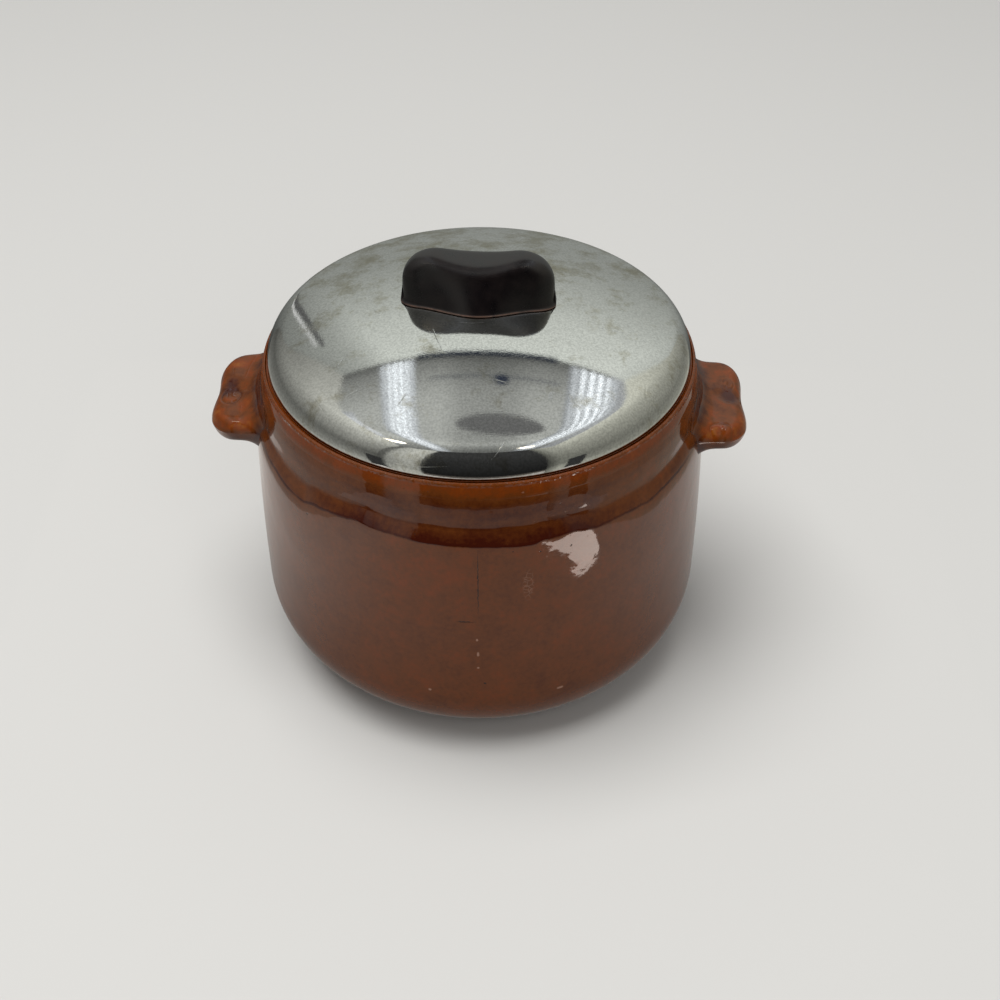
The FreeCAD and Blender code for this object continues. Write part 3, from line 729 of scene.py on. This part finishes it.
stage = {
    "floorColour": "#c9c8c5",
    "worldColour": "#f0f0ee",
    "worldFill": 0.30,        # light from all round on matt surfaces
    "worldSeen": 0.85,        # and as glossy surfaces and the camera see it
    "tentHalfWidth": 0.225, "tentBack": 0.2, "tentFront": -0.245, "tentHeight": 0.467,
    "opening": (-0.1, 0.14),  # from left to right in the tent's front
    "floorFront": -0.312, "room": -0.37,
    "floorReach": 5.0,
    "cardLift": 0.0004,       # the cards on the floor lie this far above it
    # two rows of lamps, each with its x range at the front and at the back, and its level
    "lampRows": [("Left", (-0.110, -0.064), (-0.160, -0.104), 0.5),
                 ("Right", (0.088, 0.150), (0.130, 0.214), 0.42)],
    "lampReach": (-0.24, 0.19), "lampColour": "#f4f9ff",
    # place across a row and glow of each of its strips
    "lampStrips": [(0.12, 0.9), (0.28, 1.7), (0.45, 2.0), (0.62, 2.0), (0.78, 1.5), (0.92, 0.9)],
    "stripHalf": 0.04,
    "nearLamps": [("Left", (-0.19, -0.152), (0.03, 0.016)), ("Right", (0.112, -0.178), (0.018, 0.016))],
    "gapLevel": 0.04, "gapTop": 0.13,    # dark slits where the tent's walls meet its front
    "seam": (-0.1, 0.11), "seamColour": "#5c78b0",
    # name, place, target, size in metres and power in watts
    "lamps": [("topLamp", (-0.35, -0.15, 2.2), (0, 0, 0.1), (1.6, 1.6), 52),
              ("frontLamp", (0.5, -1.6, 1.4), (0, 0, 0.1), (1.2, 1.2), 8)],
    # a window's bright patch on the floor of the tent
    "windowGlint": [(0.107, -0.2245), (0.110, -0.228), (0.129, -0.221), (0.136, -0.2176), (0.162, -0.2012),
                    (0.185, -0.1764), (0.1876, -0.166), (0.180, -0.1525), (0.169, -0.1395), (0.162, -0.1395),
                    (0.1475, -0.1505), (0.1345, -0.165), (0.132, -0.181), (0.126, -0.186), (0.122, -0.199),
                    (0.1115, -0.208), (0.112, -0.215), (0.118, -0.2185)],
}


def plainPlane(name, corners, material):
    bm = bmesh.new()
    bm.faces.new([bm.verts.new(corner) for corner in corners])
    mesh = bpy.data.meshes.new(name)
    bm.to_mesh(mesh)
    bm.free()
    mesh.materials.append(material)
    obj = bpy.data.objects.new(name, mesh)
    bpy.context.scene.collection.objects.link(obj)
    return obj


def reflectionCard(name, corners, colour, grades, level=1.0):
    # a panel of the light tent that shows only in glossy surfaces; grades gives its strength along
    # an axis, or along R, the distance from the pot, and the strengths of several axes multiply
    material, tree, place = startMaterial(name)
    axes = addNode(tree, "ShaderNodeSeparateXYZ", {0: place}).outputs
    strength = None
    for axis, stops in grades.items():
        low, high = stops[0][0], stops[-1][0]
        if axis == "R":
            value = addNode(tree, "ShaderNodeVectorMath", {0: place}, operation="LENGTH").outputs["Value"]
        else:
            value = axes[axis]
        along = addRange(tree, value, low, high)
        graded = addNode(tree, "ShaderNodeValToRGB", {"Fac": along}, stops=[
            ((p - low) / (high - low), (s, s, s)) for p, s in stops]).outputs[0]
        strength = addMath(tree, "MULTIPLY", strength or level, graded)
    glow = addNode(tree, "ShaderNodeEmission", {"Color": toLinear(colour), "Strength": strength})
    addNode(tree, "ShaderNodeOutputMaterial", {"Surface": glow.outputs[0]})
    card = plainPlane(name, corners, material)
    card.visible_camera = card.visible_diffuse = card.visible_shadow = False


def makeTent():
    # white tent open towards the front, with two rows of lamps under its ceiling
    w, back, front, top = (stage[k] for k in ("tentHalfWidth", "tentBack", "tentFront", "tentHeight"))
    room, floorFront = stage["room"], stage["floorFront"]
    openLeft, openRight = stage["opening"]
    lift, layer = stage["cardLift"], 0.001    # what hangs under the ceiling lies a layer lower each
    even = {"X": [(-1, 1), (1, 1)]}

    def wall(name, start, end, colour, grades, level=1.0, low=lift, high=top):
        corners = [(*start, low), (*end, low), (*end, high), (*start, high)]
        reflectionCard(name, corners, colour, grades, level)

    def flat(name, frontPair, backPair, y0, y1, z, colour, grades, level=1.0):
        # x range at the front edge and at the back edge
        reflectionCard(name, [(frontPair[0], y0, z), (frontPair[1], y0, z), (backPair[1], y1, z),
                              (backPair[0], y1, z)], colour, grades, level)

    def ellipse(name, middle, halfSizes, z, colour, level):
        turns = [2 * math.pi * i / 32 for i in range(32)]
        corners = [(middle[0] + halfSizes[0] * math.cos(t), middle[1] + halfSizes[1] * math.sin(t), z)
                   for t in turns]
        reflectionCard(name, corners, colour, even, level)

    wall("tentBack", (-w, back), (w, back), "#fbfff8", {
        "Z": [(0, 0.08), (0.06, 0.13), (0.11, 0.24), (0.15, 0.33), (0.2, 0.38), (0.25, 0.50), (0.3, 0.62),
              (0.35, 0.74), (top, 0.85)],
        "X": [(-w, 0.45), (-0.18, 0.62), (-0.14, 0.95), (0.2, 1.0), (w, 0.85)]})
    wall("tentLeft", (-w, front), (-w, back), "#fffff6", {
        "Z": [(0, 0.5), (0.045, 0.42), (0.07, 0.3), (0.12, 0.2), (0.16, 0.16), (0.2, 0.26), (0.25, 0.36),
              (0.3, 0.47), (0.35, 0.58), (0.4, 0.74), (top, 0.8)],
        "Y": [(front, 0.7), (-0.16, 1.0), (-0.04, 1.0), (0.06, 0.9), (0.13, 0.75), (back, 0.55)]})
    wall("tentRight", (w, front), (w, back), "#fffff0", {
        "Z": [(0, 0.5), (0.045, 0.42), (0.07, 0.3), (0.14, 0.22), (0.2, 0.31), (0.25, 0.38), (0.3, 0.46),
              (0.35, 0.53), (0.4, 0.66), (top, 0.76)],
        "Y": [(front, 0.85), (0, 1.0), (back, 1.0)]})
    wall("frontLeft", (-w, front), (openLeft, front), "#fffff6", {
        "Z": [(0, 0.6), (0.06, 0.55), (0.1, 0.4), (0.16, 0.45), (0.24, 0.58), (0.32, 0.66), (top, 0.68)],
        "X": [(-w, 0.2), (-0.2, 0.3), (-0.19, 0.7), (-0.16, 0.9), (-0.14, 1.0), (-0.115, 1.0),
              (openLeft, 0.85)]})
    wall("frontRight", (openRight, front), (w, front), "#fffff0", {
        "Z": [(0, 0.5), (0.06, 0.4), (0.1, 0.22), (0.16, 0.22), (0.24, 0.30), (0.32, 0.40), (top, 0.50)],
        "X": [(openRight, 0.3), (0.155, 0.6), (0.175, 0.95), (w, 1.0)]})
    flat("tentFloor", (-w, w), (-w, w), floorFront, back, lift, "#fff9f2", {
        "R": [(0.06, 0.2), (0.11, 0.42), (0.125, 0.55), (0.17, 0.85), (0.21, 0.92), (0.25, 0.92),
              (0.29, 0.8), (0.36, 0.72)],
        "X": [(-w, 0.92), (-0.17, 1.0), (-0.1, 0.75), (0, 0.60), (0.1, 0.62), (0.17, 0.76),
              (w, 0.8)]}, 0.95)
    flat("tentCeiling", (-w, w), (-w, w), front, back, top, "#fdfffa", {
        "Y": [(front, 0.35), (-0.19, 0.45), (-0.13, 0.65), (-0.08, 0.95), (-0.05, 1.0), (0, 0.8),
              (0.05, 0.85), (0.09, 0.8), (0.13, 0.6), (0.17, 0.42), (0.185, 0.3), (back, 0.15)],
        "X": [(-w, 1.0), (-0.06, 1.0), (-0.03, 0.75), (0, 0.7), (0.04, 0.72), (0.08, 0.95),
              (w, 1.0)]}, 0.66)
    flat("ceilingLeft", (-w, -0.185), (-w, -0.195), -0.2, 0.09, top - layer, "#f8fbff", {
        "Y": [(-0.2, 0.55), (-0.1, 0.8), (0, 0.95), (0.06, 0.8), (0.09, 0.55)]}, 0.95)
    flat("ceilingRight", (0.17, w), (0.2, w), front, back, top - layer, "#f8fbff", {
        "Y": [(front, 0.7), (0, 1.0), (back, 0.9)]}, 0.54)
    fadeIn = {"Y": [(-0.24, 0.45), (-0.17, 0.85), (-0.1, 1.0), (0.19, 1.0)]}
    lampColour = stage["lampColour"]
    for side, frontPair, backPair, level in stage["lampRows"]:
        flat("lampRow" + side, frontPair, backPair, *stage["lampReach"], top - 2 * layer, lampColour,
             fadeIn, level)
        for i, (middle, glow) in enumerate(stage["lampStrips"]):
            ends = middle - stage["stripHalf"], middle + stage["stripHalf"]
            pairs = [[a + (b - a) * end for end in ends] for a, b in (frontPair, backPair)]
            flat("lampStrip%s%d" % (side, i), *pairs, *stage["lampReach"], top - 3 * layer, lampColour,
                 fadeIn, glow)
    for side, x, inner in (("Left", -w + layer, -0.205), ("Right", w - layer, 0.2)):
        slit = "#ffffff", even, stage["gapLevel"], lift, stage["gapTop"]
        wall("cornerGap" + side, (x, front + 0.04), (x, front), *slit)
        wall("frontGap" + side, (x, front + layer), (inner, front + layer), *slit)
    seam, seamColour = stage["seam"], stage["seamColour"]
    flat("ceilingSeam", seam, seam, back - 0.011, back - layer, top - 2 * layer, seamColour, even, 0.07)
    wall("wallSeam", (seam[0], back - layer), (seam[1], back - layer), seamColour, even, 0.09,
         top - 0.008, top - layer)
    for side, middle, halfSizes in stage["nearLamps"]:
        ellipse("nearLamp" + side, middle, halfSizes, top - 4 * layer, "#fff4e0", 6.0)
    ellipse("ceilingShade", (0.028, 0.029), (0.064, 0.021), top - 2 * layer, "#ffffff", 0.17)
    ellipse("ceilingHub", (0.027, 0.125), (0.011, 0.013), top - 3 * layer, "#8c9cc4", 0.12)
    flat("ceilingJoint", (-0.077, 0.113), (-0.077, 0.113), 0.131, 0.1345, top - 2 * layer, "#b8c4e0", even,
         0.12)
    y = back - layer
    reflectionCard("cornerSeam", [(-0.158, y, 0.17), (-0.151, y, 0.17), (-0.194, y, 0.34),
                                  (-0.200, y, 0.34)], "#ffffff", even, 0.12)
    reflectionCard("cornerEdge", [(-0.161, y, 0.17), (-0.158, y, 0.17), (-0.201, y, 0.33),
                                  (-0.204, y, 0.33)], "#ffffff", even, 0.8)
    dark = {"Z": [(0, 0.012), (top, 0.05)]}
    flat("tableTop", (-w, w), (-w, w), room, floorFront, lift, "#fff2e6", {
        "Y": [(room, 0.06), (floorFront, 0.14)]})
    wall("darkRoom", (-w - 0.02, room), (w + 0.02, room), "#ffffff", dark)
    wall("darkLeft", (-w - 0.02, room), (-w - 0.02, front), "#ffffff", dark)
    wall("darkRight", (w + 0.02, room), (w + 0.02, front), "#ffffff", dark)
    flat("darkAbove", (-w, w), (-w, w), room, front, top, "#ffffff", even, 0.05)
    reflectionCard("windowGlint", [(x, y, 2 * lift) for x, y in stage["windowGlint"]], "#fff0e6",
                   even, 6.0)


def makeStage():
    # Matt pale paper under the pot, which shows its soft shadow and little else.
    material, tree, place = startMaterial("paperSweep")
    finishMaterial(material, tree, {"Base Color": toLinear(stage["floorColour"]), "Roughness": 0.9})
    reach = stage["floorReach"]
    plainPlane("paperSweep", [(-reach, -reach, 0), (reach, -reach, 0), (reach, reach, 0),
                              (-reach, reach, 0)], material)

    world = bpy.data.worlds.new("studio")
    world.use_nodes = True
    tree = world.node_tree
    tree.nodes.clear()
    path = addNode(tree, "ShaderNodeLightPath")
    seen = addMath(tree, "ADD", path.outputs["Is Camera Ray"], path.outputs["Is Glossy Ray"])
    seen = addNode(tree, "ShaderNodeMath", {0: seen, 1: path.outputs["Is Transmission Ray"]},
                   operation="ADD", use_clamp=True).outputs[0]
    strength = addRange(tree, seen, 0.0, 1.0, stage["worldFill"], stage["worldSeen"])
    sky = addNode(tree, "ShaderNodeBackground", {
        "Color": toLinear(stage["worldColour"]), "Strength": strength})
    addNode(tree, "ShaderNodeOutputWorld", {"Surface": sky.outputs[0]})
    bpy.context.scene.world = world


def addLamp(name, place, target, size, power):
    lamp = bpy.data.lights.new(name, "AREA")
    lamp.shape = "RECTANGLE"
    lamp.size, lamp.size_y = size
    lamp.energy = power
    obj = bpy.data.objects.new(name, lamp)
    obj.location = place
    obj.rotation_euler = (Vector(target) - Vector(place)).to_track_quat("-Z", "Y").to_euler()
    obj.visible_camera = obj.visible_glossy = False
    bpy.context.scene.collection.objects.link(obj)


view = {
    "place": (0.02142, -0.56239, 0.52497),
    "right": (0.999767, 0.021553, -0.001382), "forward": (-0.017534, 0.772671, -0.634564),
    "sensor": 36.0, "lens": 57.6, "clip": (0.02, 50),
}


def makeCamera():
    right = Vector(view["right"]).normalized()
    forward = Vector(view["forward"]).normalized()
    up = right.cross(forward)
    data = bpy.data.cameras.new("camera")
    data.sensor_width, data.lens = view["sensor"], view["lens"]
    data.clip_start, data.clip_end = view["clip"]
    camera = bpy.data.objects.new("camera", data)
    turn = Matrix((right, up, -forward)).transposed()
    camera.matrix_world = Matrix.Translation(view["place"]) @ turn.to_4x4()
    bpy.context.scene.collection.objects.link(camera)
    bpy.context.scene.camera = camera


print("materials")
glazed, bare = glazedStoneware(), bareStoneware()
aluminium, phenolic = polishedAluminium(), mouldedPhenolic()
brass = turnedMetal("turnedBrass", "#d8b469", "#a8823d", 0.3)
steel = turnedMetal("zincPlatedSteel", "#c4c6c6", "#8f9294", 0.32)

print("pot")
body = makePotBody([glazed, bare])
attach(body, "pot")
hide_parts("pot_body")
for name, sizes, node in (("handleRight", handleRight, "handle_right"),
                          ("handleLeft", handleLeft, "handle_left")):
    piece = makeHandle(name, sizes, [glazed])
    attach(piece, "pot")
    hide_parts(node)

print("lid")
shell = makeLidShell([aluminium])
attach(shell, "lid")
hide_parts("lid_shell")
grip = makeKnob([phenolic])
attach(grip, "lid")
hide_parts("lid_knob")
for node, finish in (("knob_insert", brass), ("knob_screw", steel), ("flat_washer", steel),
                     ("lock_washer", steel)):
    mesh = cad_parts[node].data
    mesh.materials.clear()
    mesh.materials.append(finish)

print("stage and light")
makeStage()
makeTent()
for lampSizes in stage["lamps"]:
    addLamp(*lampSizes)
makeCamera()
bpy.context.scene.view_settings.view_transform = "Standard"
